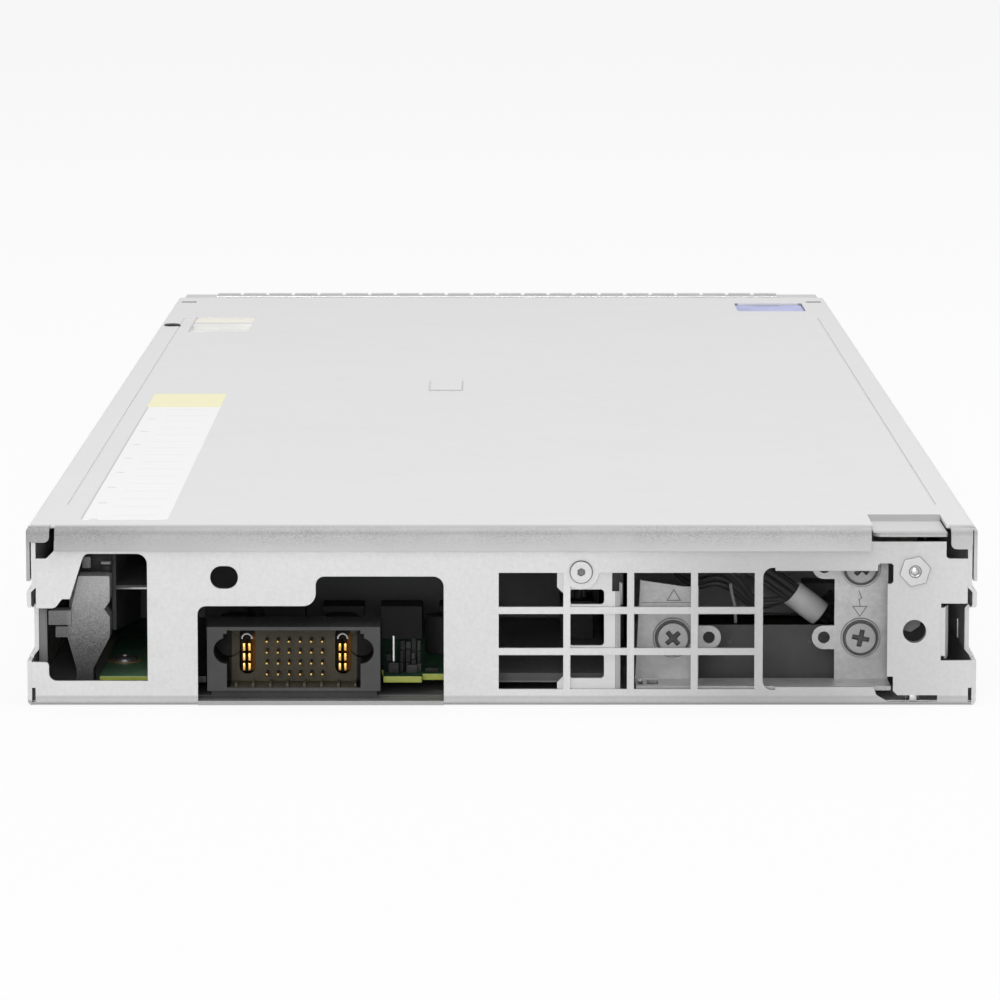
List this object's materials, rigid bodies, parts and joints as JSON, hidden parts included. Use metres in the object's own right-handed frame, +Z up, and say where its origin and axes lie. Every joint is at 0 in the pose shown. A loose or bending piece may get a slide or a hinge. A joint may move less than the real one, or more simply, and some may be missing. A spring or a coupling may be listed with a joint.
{
  "type": "server node",
  "caption": "Shallow sheet-metal server node with a sliding cover, a blind-mate power socket and vent grid at one end, ports and an ejector lever at the other.",
  "frame": {"origin": "under the middle of the node's box, on the underside of the tray floor", "axes": "+Y runs from the connector end in the picture to the port end, +X to the right seen from the connector end, +Z up"},
  "size_m": [0.216, 0.627, 0.0419],
  "materials": {
    "zinc_sheet": "zinc-plated sheet, satin",
    "cover_sheet": "zinc-plated cover sheet, satin",
    "bracket_sheet": "duller plated sheet",
    "bright_steel": "bright plated fasteners",
    "spring_steel": "spring fingers",
    "black_plastic": "black moulding",
    "socket_plastic": "dark grey glass-filled moulding",
    "grey_plastic": "grey moulding",
    "gold_contact": "gold-plated contacts",
    "circuit_board": "green solder mask",
    "blue_plastic": "pale blue touch point",
    "cream_plastic": "cream moulding",
    "white_sleeve": "white sleeve",
    "cable_jacket": "black cable jackets",
    "fin_aluminium": "extruded fins",
    "drive_case": "dark drive casting",
    "chip_package": "component bodies",
    "clear_plastic": "light pipes",
    "jack_shell": "plated port shells",
    "lever_steel": "lever and its fittings"
  },
  "bodies": {
    "chassis": {"tray": "zinc_sheet", "front_wall": "zinc_sheet", "partition_wall": "zinc_sheet", "io_panel": "zinc_sheet", "slot_cover": "zinc_sheet", "drive_cage": "zinc_sheet", "connector_bracket": "bracket_sheet", "bracket_support": "bracket_sheet", "hex_standoff": "bright_steel", "partition_screw": "bright_steel", "bracket_screws": "bright_steel", "board_standoffs": "bright_steel", "header_pin": "bright_steel", "coin_cell": "bright_steel", "processors": "bright_steel", "emi_gasket": "spring_steel", "header_base": "black_plastic", "air_baffle": "black_plastic", "front_baffle": "black_plastic", "drive_plug": "black_plastic", "board_plug": "black_plastic", "riser_socket": "black_plastic", "memory_sockets": "black_plastic", "cpu_sockets": "black_plastic", "coin_cell_holder": "black_plastic", "power_connector_housing": "socket_plastic", "guide_block": "grey_plastic", "power_contacts": "gold_contact", "signal_pins": "gold_contact", "system_board": "circuit_board", "memory_modules": "circuit_board", "drive_backplane": "circuit_board", "riser_board": "circuit_board", "cable_tag_sleeve": "white_sleeve", "drive_cable": "cable_jacket", "heatsink_front": "fin_aluminium", "heatsink_rear": "fin_aluminium", "chipset_heatsink": "fin_aluminium", "drive_lower": "drive_case", "drive_upper": "drive_case", "power_inductors": "chip_package", "capacitors": "chip_package", "light_pipes": "clear_plastic", "network_jacks": "jack_shell", "usb_jacks": "jack_shell", "video_port": "jack_shell", "lever_bracket": "lever_steel", "lever_pin": "lever_steel"},
    "cover": {"top_cover": "cover_sheet", "window_insert": "cream_plastic", "cover_latch_pan": "cover_sheet"},
    "cover_button": {"cover_button": "blue_plastic"},
    "lever": {"ejector_lever": "lever_steel", "lever_grip": "blue_plastic"},
    "power_button": {"power_button": "clear_plastic"},
    "uid_button": {"uid_button": "blue_plastic"}
  },
  "joints": [
    {"name": "cover_slide", "type": "slide", "parent": "chassis", "child": "cover", "axis": [0, -1, 0], "range_m": [0, 0.012]},
    {"name": "cover_button_press", "type": "slide", "parent": "cover", "child": "cover_button", "axis": [0, 0, -1], "range_m": [0, 0.002], "stiffness_N_per_m": 600},
    {"name": "lever_swing", "type": "hinge", "parent": "chassis", "child": "lever", "pos_m": [0.097, 0.29655, 0.011], "axis": [0, 0, -1], "range_deg": [0, 65]},
    {"name": "power_button_press", "type": "slide", "parent": "chassis", "child": "power_button", "axis": [0, -1, 0], "range_m": [0, 0.0012], "stiffness_N_per_m": 900},
    {"name": "uid_button_press", "type": "slide", "parent": "chassis", "child": "uid_button", "axis": [0, -1, 0], "range_m": [0, 0.0012], "stiffness_N_per_m": 900}
  ]
}
